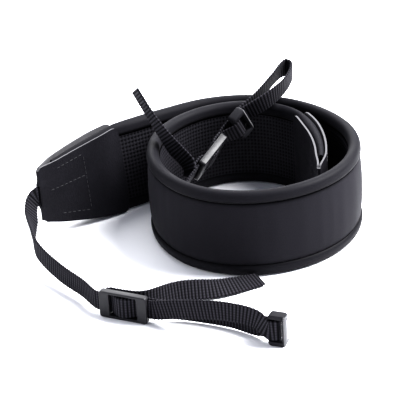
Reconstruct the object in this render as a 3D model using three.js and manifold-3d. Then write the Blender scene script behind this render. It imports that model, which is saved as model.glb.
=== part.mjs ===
// Camera neck strap: a padded neoprene neck band standing on its edge in a loose coil,
// a folded leather cover on each end of it, and a webbing strap out of each cover that
// runs through a three-bar buckle and a two-bar keeper and doubles back on itself.
// Millimetres, +Z up. The strap lies as it does on a table.

import * as THREE from "three";
import { mergeVertices } from "three/addons/utils/BufferGeometryUtils.js";
import Module from "manifold-3d";

const wasm = await Module();
wasm.setup();

// Driving dimensions
const CLEARANCE = 0.3;
const PAD_HEIGHT = 45;
const PAD_THICKNESS = 6;
const PAD_STEP = 7.5;
const BINDING_WALL = 1.1;
const BINDING_REACH = 6.5;
const GROOVE_WIDTH = 2.2;
const LINING_THICKNESS = 1.1;
const TIP_LENGTH = 48;
const TIP_END_HEIGHT = 29;
const TIP_CORNER = 4;
const TIP_STEP = 4;
const TIP_FOLD_ROUNDING = 0.7;
const TIP_SEAM = 9;
const PAD_END_SQUEEZE = 0.55;
const PAD_FULL_FROM = 36;
const LEATHER = 1.2;
const WEB_WIDTH = 10;
const WEB_THICKNESS = 1.1;
const WEB_STEP = 3.2;
const WEB_IN_TIP = 8;
const WEB_OUT_OF_TIP = 3;
const LAYER_GAP = 0.75;
const SLOT_LENGTH = WEB_WIDTH + 1;
const OVERCUT = 1;

const BUCKLE = {
  length: 24.5, height: 13.8, depth: 3.6, rail: 1.4, sideBar: 5.2, sideBarDepth: 2.1,
  centreBar: 2.4, centreBarDepth: 1.2, corner: 1.4,
};
const KEEPER = {
  length: 8.6, height: 16, depth: 5, wall: 2.2, bar: 1.8, foldedBarDepth: 2, freeBarDepth: 3.2,
  corner: 1.2, foldToBar: 1, lead: 1.5, ease: 0.2,
};
const TAIL_FOLD = { radius: 1.6, inFromEnd: 1 };

// The pad's centre line, walked from the front tip's fold to the rear tip's fold
const PAD_START = { x: -79.4, y: -26.6, heading: 42.2 };
const PAD_ARCS = [
  { stretch: "front tip", length: 45.5, turn: -10.5 },
  { stretch: "left run", length: 44, turn: -6.5 },
  { stretch: "outer back", length: 47, turn: -48.5 },
  { stretch: "outer right", length: 46, turn: -43 },
  { stretch: "right side", length: 55.5, turn: -63.5 },
  { stretch: "front right", length: 51.5, turn: -56.5 },
  { stretch: "front left", length: 37.5, turn: -49 },
  { stretch: "left side", length: 43, turn: -42 },
  { stretch: "inner back", length: 52, turn: -64.5 },
  { stretch: "inner bend", length: 53, turn: -82 },
  { stretch: "rear tip", length: 42.5, turn: -41.5 },
];
const PAD_LENGTH = PAD_ARCS.reduce((sum, arc) => sum + arc.length, 0);
const MID_HEIGHT = PAD_HEIGHT / 2;

// The stretch beside the front tip leans back: its foot stands out in front of its top edge
const LEAN = { foot: 7.2, from: -15, to: 110 };

// Where the plastic hardware lies: centre, direction of the strap through it, lean of its width
const FRONT_BUCKLE = { x: -38.3, y: -115.3, z: BUCKLE.height / 2, heading: -26, climb: 0, lean: 0 };
const FRONT_KEEPER = { x: 31.8, y: -146.5, z: KEEPER.height / 2, heading: -22.4, climb: 0, lean: 0 };
const REAR_BUCKLE = { x: 6.1, y: -19.3, z: 33.8, heading: 58.8, climb: 12.4, lean: 30 };
const REAR_KEEPER = { x: 23, y: -1.8, z: 43.2, heading: 38, climb: 32, lean: 8 };

const COLOURS = {
  neoprene: { color: 0x2c2b30, roughness: 0.85 },
  lining: { color: 0x232227, roughness: 0.9 },
  binding: { color: 0x35343a, roughness: 0.8 },
  leather: { color: 0x29282c, roughness: 0.6 },
  webbing: { color: 0x2a292d, roughness: 0.85 },
  plastic: { color: 0x3a393e, roughness: 0.4 },
};

const radians = THREE.MathUtils.degToRad;
const lerp = THREE.MathUtils.lerp;
const clamp = THREE.MathUtils.clamp;

// Solids
function toSolid(geometry) {
  const bare = geometry.clone();
  bare.deleteAttribute("normal");
  bare.deleteAttribute("uv");
  const merged = mergeVertices(bare, 1e-4);
  return new wasm.Manifold(new wasm.Mesh({
    numProp: 3,
    vertProperties: new Float32Array(merged.attributes.position.array),
    triVerts: new Uint32Array(merged.index.array),
  }));
}

function toGeometry(solid) {
  const mesh = solid.getMesh();
  const geometry = new THREE.BufferGeometry();
  geometry.setAttribute("position", new THREE.BufferAttribute(mesh.vertProperties, 3));
  geometry.setIndex(new THREE.BufferAttribute(mesh.triVerts, 1));
  return geometry;
}

// A closed solid through rings of points, with the same outline order in every ring.
// Each quad is split along its shorter diagonal, so that faces lying on each other match.
function loft(rings, outline) {
  if (THREE.ShapeUtils.area(outline) < 0) {
    rings.forEach((ring) => ring.reverse());
    outline.reverse();
  }
  const count = rings[0].length;
  const points = rings.flat();
  const indices = [];
  for (let row = 0; row + 1 < rings.length; row += 1) {
    for (let i = 0; i < count; i += 1) {
      const a = row * count + i;
      const b = row * count + (i + 1) % count;
      const [c, d] = [b + count, a + count];
      const falls = points[b].distanceTo(points[d]) < points[a].distanceTo(points[c]);
      indices.push(...(falls ? [a, b, d, b, c, d] : [a, b, c, a, c, d]));
    }
  }
  const last = (rings.length - 1) * count;
  for (const [a, b, c] of THREE.ShapeUtils.triangulateShape(outline, [])) {
    indices.push(a, c, b);
    indices.push(last + a, last + b, last + c);
  }
  const geometry = new THREE.BufferGeometry();
  geometry.setFromPoints(points);
  geometry.setIndex(indices);
  return geometry;
}

function box(length, depth, height, x, y, z) {
  return toSolid(new THREE.BoxGeometry(length, depth, height).translate(x, y, z));
}

// Pad
function padPoint(distance) {
  let { x, y } = PAD_START;
  let heading = radians(PAD_START.heading);
  let left = distance;
  for (const arc of PAD_ARCS) {
    const isLast = arc === PAD_ARCS.at(-1);
    const run = isLast ? left : Math.min(left, arc.length);
    const turn = radians(arc.turn) * run / arc.length;
    const chord = turn === 0 ? run : 2 * arc.length / radians(arc.turn) * Math.sin(turn / 2);
    x += chord * Math.cos(heading + turn / 2);
    y += chord * Math.sin(heading + turn / 2);
    heading += turn;
    left -= run;
    if (left === 0) break;
  }
  return { x, y, heading };
}

function footShift(distance) {
  const share = clamp((distance - LEAN.from) / (LEAN.to - LEAN.from), 0, 1);
  return LEAN.foot * Math.sin(share * Math.PI);
}

// Point of the pad: along it, out from its centre line (away from the coil) and up
function onPad(distance, out, height) {
  const { x, y, heading } = padPoint(distance);
  const side = out - footShift(distance) * (1 - height / PAD_HEIGHT);
  return new THREE.Vector3(x - side * Math.sin(heading), y + side * Math.cos(heading), height);
}

const fromEnd = (distance) => Math.min(distance, PAD_LENGTH - distance);

function halfHeight(distance) {
  const share = clamp(fromEnd(distance) / TIP_LENGTH, 0, 1);
  return lerp(TIP_END_HEIGHT, PAD_HEIGHT, share) / 2;
}

function squeeze(distance) {
  const share = (fromEnd(distance) - TIP_SEAM) / (PAD_FULL_FROM - TIP_SEAM);
  return lerp(PAD_END_SQUEEZE, 1, clamp(share, 0, 1));
}

// Sweeps a section given as { out, side, depth } rows: depth is measured in from the pad's
// edge, and side is +1 at the top edge and -1 at the bottom edge
function sweepPad(section) {
  const start = TIP_SEAM;
  const end = PAD_LENGTH - TIP_SEAM;
  const steps = Math.ceil((end - start) / PAD_STEP);
  const rings = [];
  for (let step = 0; step <= steps; step += 1) {
    const distance = lerp(start, end, step / steps);
    rings.push(section.map(({ out, side, depth }) => onPad(
      distance, out * squeeze(distance), MID_HEIGHT + side * (halfHeight(distance) - depth))));
  }
  const outline = section.map(({ out, side, depth }) => (
    new THREE.Vector2(out, side * (PAD_HEIGHT / 2 - depth))));
  return loft(rings, outline);
}

const HALF_PAD = PAD_THICKNESS / 2;
const BINDING_INSIDE = HALF_PAD - BINDING_WALL;
const CORE_EDGE = BINDING_INSIDE - CLEARANCE;
const LINING_OUT = CORE_EDGE + CLEARANCE;
const FACE_START = BINDING_REACH + CLEARANCE;

// Foam core with the smooth outer panel: thin inside the bindings, full between the grooves
function padCore() {
  const edge = HALF_PAD;
  const outer = HALF_PAD - CLEARANCE;
  const half = (side) => [
    { out: CORE_EDGE, side, depth: edge },
    { out: CORE_EDGE, side, depth: FACE_START },
    { out: outer, side, depth: FACE_START + GROOVE_WIDTH },
  ];
  const inner = (side) => [
    { out: -CORE_EDGE, side, depth: edge },
    { out: -CORE_EDGE, side, depth: FACE_START },
  ];
  return sweepPad([...half(-1), ...half(1).reverse(), ...inner(1), ...inner(-1).reverse()]);
}

// Grip lining on the face that lies on the neck
function gripLining() {
  const corner = (thickness, side) => ({
    out: -(LINING_OUT + thickness), side, depth: FACE_START,
  });
  return sweepPad([
    corner(0, -1), corner(0, 1), corner(LINING_THICKNESS, 1), corner(LINING_THICKNESS, -1),
  ]);
}

// Edge binding: a strip folded over the edge, its fold flattened where the pad stands on it
function edgeBinding(side) {
  const arc = (radius, angles) => angles.map((angle) => ({
    out: radius * Math.cos(radians(angle)),
    side,
    depth: HALF_PAD - radius * Math.sin(radians(angle)),
  }));
  const foot = HALF_PAD * Math.tan(radians(22.5));
  return sweepPad([
    { out: HALF_PAD, side, depth: BINDING_REACH },
    { out: HALF_PAD, side, depth: HALF_PAD - foot },
    { out: foot, side, depth: 0 },
    { out: -foot, side, depth: 0 },
    { out: -HALF_PAD, side, depth: HALF_PAD - foot },
    { out: -HALF_PAD, side, depth: BINDING_REACH },
    { out: -BINDING_INSIDE, side, depth: BINDING_REACH },
    ...arc(BINDING_INSIDE, [180, 90, 0]),
    { out: BINDING_INSIDE, side, depth: BINDING_REACH },
  ]);
}

// Leather tip: one piece folded round the pad's end, open along its edges, slotted at the fold
function leatherTip(atRear) {
  const along = (e) => (atRear ? PAD_LENGTH - e : e);
  const webRoom = WEB_THICKNESS / 2 + CLEARANCE;
  const room = (e) => {
    const padRoom = HALF_PAD * squeeze(along(Math.max(e, TIP_SEAM))) + CLEARANCE;
    return lerp(webRoom, padRoom, clamp((e - TIP_SEAM / 2) / (TIP_SEAM / 2), 0, 1));
  };
  const corner = (e) => {
    const into = Math.max(0, e - (TIP_LENGTH - TIP_CORNER));
    return TIP_CORNER - Math.sqrt(TIP_CORNER ** 2 - into ** 2);
  };
  const shell = (rows, extra, rise) => {
    const rings = rows.map((e) => {
      const wide = room(Math.max(e, 0)) + extra(e);
      const tall = halfHeight(along(Math.max(e, 0))) + rise(e);
      return [[-wide, -tall], [wide, -tall], [wide, tall], [-wide, tall]].map(([out, up]) => (
        onPad(along(e), atRear ? -out : out, MID_HEIGHT + up)));
    });
    const outline = [[-1, -1], [1, -1], [1, 1], [-1, 1]].map(([x, y]) => new THREE.Vector2(x, y));
    return toSolid(loft(rings, outline));
  };
  const rows = [];
  for (let e = 0; e < TIP_LENGTH - TIP_CORNER; e += TIP_STEP) rows.push(e);
  const corners = [0, 0.6, 0.9, 1].map((share) => TIP_LENGTH - TIP_CORNER * (1 - share));
  const fold = (e) => LEATHER + Math.min(e, 0) * TIP_FOLD_ROUNDING;
  const outside = shell([-LEATHER, -LEATHER / 2, ...rows, ...corners], fold, (e) => -corner(e));
  const inside = shell([...rows, ...corners, TIP_LENGTH + OVERCUT], () => 0, () => OVERCUT);
  const slot = shell([-2 * LEATHER, TIP_SEAM / 2], () => 0, (e) => (
    SLOT_LENGTH / 2 - halfHeight(along(Math.max(e, 0)))));
  return toGeometry(outside.subtract(inside).subtract(slot));
}

// Webbing
// Local frame of a stretch of strap: along it, out of its front face, and across its width
function strapFrame({ x, y, z, heading, climb, lean }) {
  const along = new THREE.Vector3(
    Math.cos(radians(heading)) * Math.cos(radians(climb)),
    Math.sin(radians(heading)) * Math.cos(radians(climb)),
    Math.sin(radians(climb)));
  const across = widthDirection(along, lean);
  const front = new THREE.Vector3().crossVectors(along, across);
  return { origin: new THREE.Vector3(x, y, z), along, front, across };
}

// The webbing's width stands upright, then leans by an angle to the right of its run
function widthDirection(along, lean) {
  const right = new THREE.Vector3().crossVectors(along, new THREE.Vector3(0, 0, 1)).normalize();
  const upright = new THREE.Vector3().crossVectors(right, along);
  return upright.multiplyScalar(Math.cos(radians(lean)))
    .addScaledVector(right, Math.sin(radians(lean)));
}

// Route rows measured on a piece of hardware: u along the strap, v out of its front face
function onHardware(hardware, rows) {
  const { origin, along, front, across } = strapFrame(hardware);
  return rows.map(({ u, v }) => ({
    at: origin.clone().addScaledVector(along, u).addScaledVector(front, v),
    across,
  }));
}

const onTable = (rows) => rows.map(({ x, y, z, lean = 0 }) => ({
  at: new THREE.Vector3(x, y, z), lean,
}));

// Route rows that go through a buckle: behind a side bar, over the centre bar, behind the other
const HALF_WEB = WEB_THICKNESS / 2;
const LAYER_PITCH = WEB_THICKNESS + LAYER_GAP;
const UNDER_BAR = BUCKLE.depth / 2 - BUCKLE.sideBarDepth - CLEARANCE - HALF_WEB;
const OVER_CENTRE = -BUCKLE.depth / 2 + BUCKLE.centreBarDepth + CLEARANCE + HALF_WEB;

function throughBuckle(layer, direction) {
  const low = UNDER_BAR - (layer === "inner" ? LAYER_PITCH : 0);
  const high = OVER_CENTRE + (layer === "outer" ? LAYER_PITCH : 0);
  const arch = [
    { u: 14.7, rise: 0 },
    { u: 12.2, rise: 0 },
    { u: 7.6, rise: 0 },
    { u: 5.4, rise: 0.26 },
    { u: 3, rise: 0.74 },
    { u: 1.2, rise: 1 },
  ];
  const half = (sign) => arch.map(({ u, rise }) => ({
    u: sign * u, v: lerp(low, high, rise),
  }));
  return [...half(-direction), ...half(direction).reverse()];
}

// Front strap: out of the front tip, through the buckle, round the keeper's bar and back,
// then folded round behind the buckle's side bar so that its tail lies free on the table
function frontRoute() {
  const out = (e) => ({
    at: onPad(e, 0, MID_HEIGHT),
    lean: THREE.MathUtils.radToDeg(Math.atan(footShift(e) / PAD_HEIGHT)),
  });
  const barFront = KEEPER.foldedBarDepth / 2 + CLEARANCE + HALF_WEB;
  const foldAt = KEEPER.length / 2 - KEEPER.bar - KEEPER.foldToBar - HALF_WEB - barFront;
  const fold = [90, 45, 0, -45, -90].map((angle) => ({
    u: foldAt + barFront * Math.cos(radians(angle)),
    v: barFront * Math.sin(radians(angle)),
  }));
  const inner = UNDER_BAR - LAYER_PITCH;
  const turn = TAIL_FOLD.radius;
  const turnAt = -BUCKLE.length / 2 + turn + TAIL_FOLD.inFromEnd;
  const tailFold = [45, 0, -45, -90].map((angle) => ({
    u: turnAt - turn * Math.cos(radians(angle)),
    v: inner - turn + turn * Math.sin(radians(angle)),
  }));
  const back = throughBuckle("inner", -1).filter(({ u }) => u > turnAt);
  return [
    out(WEB_IN_TIP), out(TIP_SEAM / 2), out(0), out(-WEB_OUT_OF_TIP),
    ...onTable([
      { x: -83, y: -31.8, z: 20.4, lean: 16 },
      { x: -83.4, y: -39, z: 16.6, lean: 34 },
      { x: -82.6, y: -51.5, z: 13.4, lean: 8 },
      { x: -79.8, y: -63.6, z: 11 },
      { x: -69, y: -80.8, z: 7.8, lean: -2 },
      { x: -58, y: -95.8, z: 7 },
    ]),
    ...onHardware(FRONT_BUCKLE, throughBuckle("outer", 1)),
    ...onTable([
      { x: -12.3, y: -127.3, z: 9.8 },
      { x: 8, y: -136.4, z: 12.2 },
      { x: 22, y: -142, z: 10.6 },
    ]),
    ...onHardware(FRONT_KEEPER, [{ u: -KEEPER.length / 2, v: barFront }, ...fold]),
    ...onHardware(FRONT_KEEPER, [{ u: -KEEPER.length / 2, v: -barFront }]),
    ...onTable([
      { x: 22.4, y: -138.4, z: 5.6 },
      { x: 10.8, y: -129, z: 5.2 },
      { x: -10, y: -120.6, z: 5.6 },
    ]),
    ...onHardware(FRONT_BUCKLE, back),
    ...onHardware(FRONT_BUCKLE, tailFold),
    ...onHardware(FRONT_BUCKLE, [{ u: -4, v: -6.2 }, { u: 6, v: -8 }]),
    ...onTable([
      { x: -12, y: -101.6, z: 5.2, lean: -25 },
      { x: 6.9, y: -97.4, z: 3.3, lean: -60 },
      { x: 26.4, y: -88.2, z: 1.4, lean: -84 },
    ]),
  ];
}

// Rear strap: out of the rear tip, round inside the coil, through the buckle and the keeper
// into an open lug loop over the back of the coil, and back out as a tail over its left side
function rearRoute() {
  const out = (e) => ({ at: onPad(PAD_LENGTH - e, 0, MID_HEIGHT), lean: 0 });
  const behind = KEEPER.foldedBarDepth / 2 + CLEARANCE + HALF_WEB;
  const bar = KEEPER.length / 2 - KEEPER.bar / 2;
  return [
    out(WEB_IN_TIP), out(TIP_SEAM / 2), out(0), out(-WEB_OUT_OF_TIP),
    ...onTable([
      { x: 55, y: -56, z: 21.5 },
      { x: 46.5, y: -65, z: 20 },
      { x: 33, y: -70.5, z: 19 },
      { x: 18, y: -70.5, z: 19.5 },
      { x: 4, y: -65, z: 21, lean: 4 },
      { x: -6, y: -55, z: 23.5, lean: 10 },
      { x: -8.5, y: -45, z: 26.5, lean: 18 },
      { x: -5.5, y: -36.5, z: 29.3, lean: 25 },
    ]),
    ...onHardware(REAR_BUCKLE, throughBuckle("outer", 1)),
    ...onHardware(REAR_KEEPER, [
      { u: -bar - KEEPER.lead, v: behind - KEEPER.ease },
      { u: -bar, v: behind },
      { u: -bar + KEEPER.lead, v: behind - KEEPER.ease },
      { u: 0, v: 0 },
      { u: bar - KEEPER.lead, v: KEEPER.ease - behind },
      { u: bar, v: -behind },
      { u: bar + KEEPER.lead, v: -behind },
    ]),
    ...onTable([
      { x: 36.6, y: 5.6, z: 51, lean: 9 },
      { x: 45.2, y: 14.4, z: 53.8, lean: 10 },
      { x: 49.4, y: 23.6, z: 55.3, lean: 6 },
      { x: 50.4, y: 30.2, z: 56, lean: 0 },
      { x: 48.2, y: 33, z: 56.2, lean: -6 },
      { x: 45.2, y: 30.6, z: 55.9, lean: -12 },
      { x: 40.6, y: 23.2, z: 54.6, lean: -18 },
      { x: 32.4, y: 11.4, z: 50.4, lean: -12 },
    ]),
    ...onHardware(REAR_KEEPER, [bar, 0, -bar].map((u) => ({ u, v: -behind - LAYER_PITCH }))),
    ...onHardware(REAR_BUCKLE, throughBuckle("inner", -1)),
    ...onTable([
      { x: -5, y: -28.6, z: 36 },
      { x: -10.4, y: -26.2, z: 42.2, lean: -8 },
      { x: -15.4, y: -23.6, z: 49, lean: -18 },
      { x: -19.8, y: -20.6, z: 55.4, lean: -22 },
      { x: -24.2, y: -16.8, z: 62.2, lean: -22 },
      { x: -28.6, y: -12.8, z: 69.6, lean: -22 },
    ]),
  ];
}

function webbing(route) {
  const curve = new THREE.CatmullRomCurve3(route.map((row) => row.at), false, "centripetal");
  const spans = route.length - 1;
  const samples = [];
  for (let span = 0; span < spans; span += 1) {
    const length = route[span].at.distanceTo(route[span + 1].at);
    const steps = Math.max(1, Math.round(length / WEB_STEP));
    for (let step = 0; step < steps; step += 1) samples.push(span + step / steps);
  }
  samples.push(spans);
  const widths = route.map((row, i) => (
    row.across ?? widthDirection(curve.getTangent(i / spans), row.lean)));
  const rings = samples.map((sample) => {
    const span = Math.min(Math.floor(sample), spans - 1);
    const at = curve.getPoint(sample / spans);
    const along = curve.getTangent(sample / spans);
    const across = new THREE.Vector3().lerpVectors(widths[span], widths[span + 1], sample - span);
    across.addScaledVector(along, -across.dot(along)).normalize();
    const back = new THREE.Vector3().crossVectors(across, along);
    return [[-1, -1], [1, -1], [1, 1], [-1, 1]].map(([side, edge]) => at.clone()
      .addScaledVector(back, side * HALF_WEB).addScaledVector(across, edge * WEB_WIDTH / 2));
  });
  const outline = [[-1, -1], [1, -1], [1, 1], [-1, 1]].map(([x, y]) => new THREE.Vector2(x, y));
  return loft(rings, outline);
}

// Hardware, drawn with the strap along X, its front face toward -Y and its width along Z
function roundedPlate(length, height, depth, corner) {
  const right = length / 2 - corner;
  const top = height / 2 - corner;
  const face = new THREE.Shape();
  face.absarc(right, -top, corner, -Math.PI / 2, 0);
  face.absarc(right, top, corner, 0, Math.PI / 2);
  face.absarc(-right, top, corner, Math.PI / 2, Math.PI);
  face.absarc(-right, -top, corner, Math.PI, Math.PI * 1.5);
  const plate = new THREE.ExtrudeGeometry(face, { depth, bevelEnabled: false, curveSegments: 3 });
  return toSolid(plate.translate(0, 0, -depth / 2).rotateX(Math.PI / 2));
}

// Buckle: two broad side bars at the front, and a centre bar set back between them
function buckle() {
  const { length, height, depth, rail, sideBar, sideBarDepth, centreBar, centreBarDepth } = BUCKLE;
  const inside = height - 2 * rail;
  const undercut = depth - sideBarDepth + OVERCUT;
  let solid = roundedPlate(length, height, depth, BUCKLE.corner)
    .subtract(box(length - 2 * sideBar, depth + OVERCUT, inside, 0, 0, 0));
  for (const side of [-1, 1]) {
    solid = solid.subtract(box(sideBar + 2 * OVERCUT, undercut, inside,
      side * (length / 2 - sideBar / 2), depth / 2 + OVERCUT - undercut / 2, 0));
  }
  return toGeometry(solid.add(box(centreBar, centreBarDepth, inside + rail,
    0, depth / 2 - centreBarDepth / 2, 0)));
}

// Keeper: two walls above and below the strap, a bar across each end of them
function keeper() {
  const { length, height, depth, wall, bar, foldedBarDepth, freeBarDepth } = KEEPER;
  const inside = height - 2 * wall;
  return toGeometry(roundedPlate(length, height, depth, KEEPER.corner)
    .subtract(box(length + OVERCUT, depth + OVERCUT, inside, 0, 0, 0))
    .add(box(bar, foldedBarDepth, inside + wall, -length / 2 + bar / 2, 0, 0))
    .add(box(bar, freeBarDepth, inside + wall,
      length / 2 - bar / 2, -(freeBarDepth - foldedBarDepth) / 2, 0)));
}

// Assembly
function material(name) {
  return new THREE.MeshStandardMaterial({ metalness: 0, ...COLOURS[name] });
}

function piece(name, geometry, finish, hardware) {
  const mesh = new THREE.Mesh(geometry, material(finish));
  mesh.name = name;
  if (hardware) {
    const { origin, along, front, across } = strapFrame(hardware);
    const back = front.clone().negate();
    mesh.quaternion.setFromRotationMatrix(new THREE.Matrix4().makeBasis(along, back, across));
    mesh.position.copy(origin);
  }
  return mesh;
}

const strap = new THREE.Group();
strap.add(
  piece("neck_pad", padCore(), "neoprene"),
  piece("grip_lining", gripLining(), "lining"),
  piece("top_binding", edgeBinding(1), "binding"),
  piece("bottom_binding", edgeBinding(-1), "binding"),
  piece("front_tip", leatherTip(false), "leather"),
  piece("rear_tip", leatherTip(true), "leather"),
  piece("front_webbing", webbing(frontRoute()), "webbing"),
  piece("rear_webbing", webbing(rearRoute()), "webbing"),
  piece("front_buckle", buckle(), "plastic", FRONT_BUCKLE),
  piece("rear_buckle", buckle(), "plastic", REAR_BUCKLE),
  piece("front_keeper", keeper(), "plastic", FRONT_KEEPER),
  piece("rear_keeper", keeper(), "plastic", REAR_KEEPER),
);

// The origin is the middle of the footprint, on the table
strap.updateMatrixWorld(true);
const bounds = new THREE.Box3().setFromObject(strap, true);
const middle = bounds.getCenter(new THREE.Vector3());
strap.position.set(-middle.x, -middle.y, -bounds.min.z);

export default strap;
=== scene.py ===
import math

import bpy
import numpy as np
from mathutils import Matrix, Vector


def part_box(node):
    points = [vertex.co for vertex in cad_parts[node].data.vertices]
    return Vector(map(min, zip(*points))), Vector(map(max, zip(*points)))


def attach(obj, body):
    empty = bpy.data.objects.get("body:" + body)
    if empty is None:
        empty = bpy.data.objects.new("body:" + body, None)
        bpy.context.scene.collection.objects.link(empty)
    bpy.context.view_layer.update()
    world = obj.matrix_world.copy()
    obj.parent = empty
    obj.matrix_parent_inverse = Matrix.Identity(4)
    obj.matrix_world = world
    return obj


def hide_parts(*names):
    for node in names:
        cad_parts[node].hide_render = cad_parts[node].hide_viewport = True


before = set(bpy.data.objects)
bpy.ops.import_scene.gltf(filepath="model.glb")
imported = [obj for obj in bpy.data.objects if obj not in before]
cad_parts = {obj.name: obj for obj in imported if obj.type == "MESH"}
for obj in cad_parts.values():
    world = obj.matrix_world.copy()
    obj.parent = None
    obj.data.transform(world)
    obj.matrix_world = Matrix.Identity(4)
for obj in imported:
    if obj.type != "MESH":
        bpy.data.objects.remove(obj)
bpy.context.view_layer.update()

# Table and light: a plain white table top in an evenly lit white studio, with broad softboxes to the
# right and behind and a weak one to the left. The camera looks down a long lens, as for a product shot.
MM = 0.001
TABLE_SIZE, TABLE_DROP = 8.0, 0.2
CAMERA_ELEVATION = 27.5
CAMERA_ROLL = -3.5
CAMERA_DISTANCE = 1.2
CAMERA_LENS = 211.7
KEEPER_PLACE = Vector((31.8, -146.5, 8.0))
SOFTBOXES = [
    # name, place, width, watts
    ("softbox_right", (1.0, 0.1, 1.2), 1.1, 80.0),
    ("softbox_back", (-0.1, 1.35, 1.15), 2.0, 44.0),
    ("softbox_left", (-1.2, -0.4, 0.6), 0.8, 7.0),
]
WORLD_LIGHT = 0.46
WORLD_TINT = (0.84, 0.88, 1.0, 1)

bpy.ops.object.select_all(action="DESELECT")


def middle_of(node):
    """The middle of a solid's box."""
    low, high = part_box(node)
    return (low + high) / 2


# The coil's drawing has its own zero point on the table; the front keeper shows where that is
zero = middle_of("front_keeper") - KEEPER_PLACE * MM
aim = Vector((zero.x, zero.y, 0))

bpy.ops.mesh.primitive_plane_add(size=TABLE_SIZE, location=(0, 0, -TABLE_DROP * MM))
table = bpy.context.object
table.name = "table_top"

white = bpy.data.materials.new("table_white")
white.use_nodes = True
white_shader = white.node_tree.nodes["Principled BSDF"]
white_shader.inputs["Base Color"].default_value = (0.9, 0.9, 0.92, 1)
white_shader.inputs["Roughness"].default_value = 0.75
white_shader.inputs["Specular IOR Level"].default_value = 0.2
table.data.materials.append(white)

for name, place, width, watts in SOFTBOXES:
    lamp = bpy.data.lights.new(name, "AREA")
    lamp.shape = "DISK"
    lamp.size = width
    lamp.energy = watts
    softbox = bpy.data.objects.new(name, lamp)
    bpy.context.collection.objects.link(softbox)
    softbox.location = aim + Vector(place)
    softbox.rotation_euler = (-Vector(place)).to_track_quat("-Z", "Y").to_euler()

world = bpy.data.worlds.new("studio_white")
world.use_nodes = True
world.node_tree.nodes["Background"].inputs["Color"].default_value = WORLD_TINT
world.node_tree.nodes["Background"].inputs["Strength"].default_value = WORLD_LIGHT
bpy.context.scene.world = world
bpy.context.scene.view_settings.view_transform = "Standard"
bpy.context.scene.view_settings.look = "High Contrast"

camera = bpy.data.objects.new("camera", bpy.data.cameras.new("camera"))
bpy.context.collection.objects.link(camera)
camera.data.lens = CAMERA_LENS
camera.data.clip_end = 20
tilt = Matrix.Rotation(math.radians(90 - CAMERA_ELEVATION), 4, "X")
roll = Matrix.Rotation(math.radians(CAMERA_ROLL), 4, "Z")
elevation = math.radians(CAMERA_ELEVATION)
toward_camera = Vector((0, -math.cos(elevation), math.sin(elevation)))
camera.matrix_world = Matrix.Translation(aim + toward_camera * CAMERA_DISTANCE) @ tilt @ roll
bpy.context.scene.camera = camera

# Neck pad: a long strip of neoprene foam under a smooth knitted panel, standing on its edge. The
# panel is crowned between the two bound edges and pulled in along their seams.
PAD_HEIGHT = 45.0
PAD_HALF = 3.0
PAD_START = (-79.4, -26.6, 42.2)
PAD_ARCS = [
    # stretch, length, turn
    ("front tip", 45.5, -10.5),
    ("left run", 44.0, -6.5),
    ("outer back", 47.0, -48.5),
    ("outer right", 46.0, -43.0),
    ("right side", 55.5, -63.5),
    ("front right", 51.5, -56.5),
    ("front left", 37.5, -49.0),
    ("left side", 43.0, -42.0),
    ("inner back", 52.0, -64.5),
    ("inner bend", 53.0, -82.0),
    ("rear tip", 42.5, -41.5),
]
PAD_LENGTH = sum(length for stretch, length, turn in PAD_ARCS)
LEAN_FOOT, LEAN_FROM, LEAN_TO = 7.2, -15.0, 110.0
TIP_LENGTH, TIP_END_HEIGHT, TIP_SEAM = 48.0, 29.0, 9.0
END_SQUEEZE, FULL_FROM = 0.55, 36.0
SEWN_PINCH, PINCH_WIDTH = 0.2, 6.0
PANEL_START, PANEL_GROOVE, PANEL_CROWN = 5.9, 1.6, 3.35
PANEL_COLUMNS, PAD_STEP, CROWN_POWER = 26, 1.6, 0.36
PUCKER, PUCKER_PITCH = 0.09, 5.2
BAND, BAND_PITCH, BAND_WANDER, WANDER_PITCH = 0.07, 9.3, 1.7, 41.0
# Painted shade: the panel and tapes are darkened along the seam grooves under each bead, strongest at the
# top seam, as the groove's shadow
GROOVE_SHADE_WIDTH = 1.0
TOP_GROOVE_PAINTED_SHADE, FOOT_GROOVE_PAINTED_SHADE = 0.7, 0.3
ROUGHNESS_SPREAD, PATCH_SHARE, FLECK_SHARE = 0.08, 0.6, 0.45
# Near-black colour that the painted groove shade mixes toward
GROOVE_SHADE_COLOUR = (0.001, 0.001, 0.0012, 1)
NEOPRENE_DARK = (0.0135, 0.013, 0.0156, 1)
NEOPRENE_LIGHT = (0.025, 0.0241, 0.0289, 1)


def pad_point(distance):
    """Place and heading of the pad's centre line, at a distance from its front end."""
    x, y = PAD_START[:2]
    heading = math.radians(PAD_START[2])
    left = distance
    for stretch, length, turn in PAD_ARCS:
        run = left if stretch == "rear tip" else min(left, length)
        bend = math.radians(turn) * run / length
        chord = 2 * length / math.radians(turn) * math.sin(bend / 2)
        x += chord * math.cos(heading + bend / 2)
        y += chord * math.sin(heading + bend / 2)
        heading += bend
        left -= run
        if left == 0:
            break
    return x, y, heading


def pad_row(distance, section):
    """One row of points across the pad, from (out, height) pairs in millimetres."""
    x, y, heading = pad_point(distance)
    share = min(max((distance - LEAN_FROM) / (LEAN_TO - LEAN_FROM), 0), 1)
    lean = LEAN_FOOT * math.sin(share * math.pi)
    row = []
    for out, height in section:
        side = out - lean * (1 - height / PAD_HEIGHT)
        place = Vector((x - side * math.sin(heading), y + side * math.cos(heading), height))
        row.append(place * MM + zero)
    return row


def half_height(distance):
    """Half the pad's height, which narrows towards both ends."""
    share = min(max(min(distance, PAD_LENGTH - distance) / TIP_LENGTH, 0), 1)
    return (TIP_END_HEIGHT + (PAD_HEIGHT - TIP_END_HEIGHT) * share) / 2


def squeeze(distance):
    """How far the pad keeps its thickness: less in its ends, and where the leather's edge is sewn."""
    end = min(distance, PAD_LENGTH - distance)
    share = min(max((end - TIP_SEAM) / (FULL_FROM - TIP_SEAM), 0), 1)
    pinch = SEWN_PINCH * math.exp(-(((end - TIP_LENGTH) / PINCH_WIDTH) ** 2))
    return (END_SQUEEZE + (1 - END_SQUEEZE) * share) * (1 - pinch)


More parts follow.
